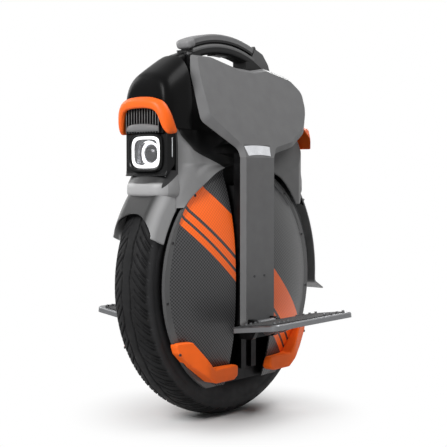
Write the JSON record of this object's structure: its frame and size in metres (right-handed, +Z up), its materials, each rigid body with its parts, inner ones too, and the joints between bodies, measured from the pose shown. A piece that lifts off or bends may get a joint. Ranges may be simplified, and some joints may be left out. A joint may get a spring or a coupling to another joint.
{
  "type": "electric unicycle",
  "caption": "Electric unicycle with a fat tyre on a hub motor, domed side covers, a sprung T-shaped foot frame with folding pedals, a headlight, and a carry handle with a lift-up trolley bar.",
  "frame": {"origin": "on the ground under the axle, midway between the pedals", "axes": "+X forward, +Y to the rider's left, +Z up; the wheel turns about Y"},
  "size_m": [0.5464, 0.4358, 0.7095],
  "materials": {
    "tyre": "dull",
    "black_rubber": "matt",
    "steel": "brushed",
    "dark_steel": "oiled",
    "silver_alloy": "satin",
    "black_alloy": "anodised",
    "dark_grey_shell": "satin",
    "grey_panel": "satin",
    "gloss_black": "gloss",
    "black_plastic": "matt",
    "carbon_weave": "woven",
    "orange_trim": "satin",
    "battery_wrap": "shrink wrap",
    "lamp_white": "gloss",
    "lamp_glass": "clear",
    "lamp_dark": "clear",
    "tail_red": "gloss",
    "badge": "satin"
  },
  "bodies": {
    "chassis": {"axle": "steel", "motor_stator": "dark_steel", "wheel_plates": "black_alloy", "wheel_arch": "black_plastic", "guide_rail_left": "black_alloy", "guide_rail_right": "black_alloy", "axle_nuts": "steel", "side_cover_front_left": "carbon_weave", "side_cover_rear_left": "carbon_weave", "side_cover_front_right": "carbon_weave", "side_cover_rear_right": "carbon_weave", "cover_screws": "dark_steel", "battery_packs": "battery_wrap", "bumpers_left": "orange_trim", "bumpers_right": "orange_trim", "front_fascia": "dark_grey_shell", "rear_fascia": "dark_grey_shell", "top_cowl": "gloss_black", "front_visor": "orange_trim", "rear_visor": "orange_trim", "heat_sink": "black_alloy", "controller": "black_alloy", "headlight_housing": "gloss_black", "headlight_reflector": "lamp_white", "headlight_projector": "lamp_dark", "headlight_lens": "lamp_glass", "tail_light_lens": "tail_red", "front_fender": "dark_grey_shell", "rear_mudguard": "black_plastic", "charge_socket": "black_plastic", "spring_rods": "steel"},
    "wheel": {"tyre": "tyre", "inner_tube": "black_rubber", "valve_stem": "steel", "hub_drum": "black_alloy", "motor_covers": "black_alloy", "rotor_magnets": "dark_steel", "wheel_bearings": "steel"},
    "foot_frame": {"spring_bodies": "black_alloy", "suspension_leg_left": "black_alloy", "suspension_leg_right": "black_alloy", "side_panel_left": "grey_panel", "side_panel_right": "grey_panel", "neck_badges": "badge", "slider_blocks": "black_plastic", "front_bridge": "black_alloy", "rear_bridge": "black_alloy", "carry_handle": "black_plastic", "latch_plate": "dark_steel", "hinge_pins": "steel", "pedal_hangers": "black_alloy"},
    "left_pedal": {"pedal_left": "silver_alloy", "pedal_grip_left": "black_rubber"},
    "right_pedal": {"pedal_right": "silver_alloy", "pedal_grip_right": "black_rubber"},
    "trolley": {"trolley_handle": "black_plastic", "trolley_cap": "grey_panel"},
    "power_button": {"power_button": "black_plastic"},
    "lift_switch": {"lift_switch": "black_plastic"},
    "charge_cap": {"charge_cap": "black_rubber"}
  },
  "joints": [
    {"name": "wheel_spin", "type": "hinge", "parent": "chassis", "child": "wheel", "pos_m": [0, 0, 0.253], "axis": [0, 1, 0], "continuous": true},
    {"name": "suspension_travel", "type": "slide", "parent": "chassis", "child": "foot_frame", "axis": [0, 0, 1], "range_m": [-0.075, 0], "stiffness_N_per_m": 9000, "springref_m": 0.03},
    {"name": "left_pedal_fold", "type": "hinge", "parent": "foot_frame", "child": "left_pedal", "pos_m": [0, 0.108, 0.177], "axis": [1, 0, 0], "range_deg": [0, 83]},
    {"name": "right_pedal_fold", "type": "hinge", "parent": "foot_frame", "child": "right_pedal", "pos_m": [0, -0.108, 0.177], "axis": [-1, 0, 0], "range_deg": [0, 83]},
    {"name": "trolley_lift", "type": "hinge", "parent": "foot_frame", "child": "trolley", "pos_m": [-0.08991, 0, 0.69134], "axis": [0, -1, 0], "range_deg": [0, 100]},
    {"name": "power_button_press", "type": "slide", "parent": "foot_frame", "child": "power_button", "axis": [0, 0, -1], "range_m": [0, 0.002], "stiffness_N_per_m": 600, "springref_m": -0.002},
    {"name": "lift_switch_press", "type": "slide", "parent": "foot_frame", "child": "lift_switch", "axis": [0, 0, 1], "range_m": [0, 0.0025], "stiffness_N_per_m": 400, "springref_m": -0.003},
    {"name": "charge_cap_flip", "type": "hinge", "parent": "chassis", "child": "charge_cap", "pos_m": [-0.1825, 0, 0.5238], "axis": [0, -1, 0], "range_deg": [0, 100]}
  ]
}
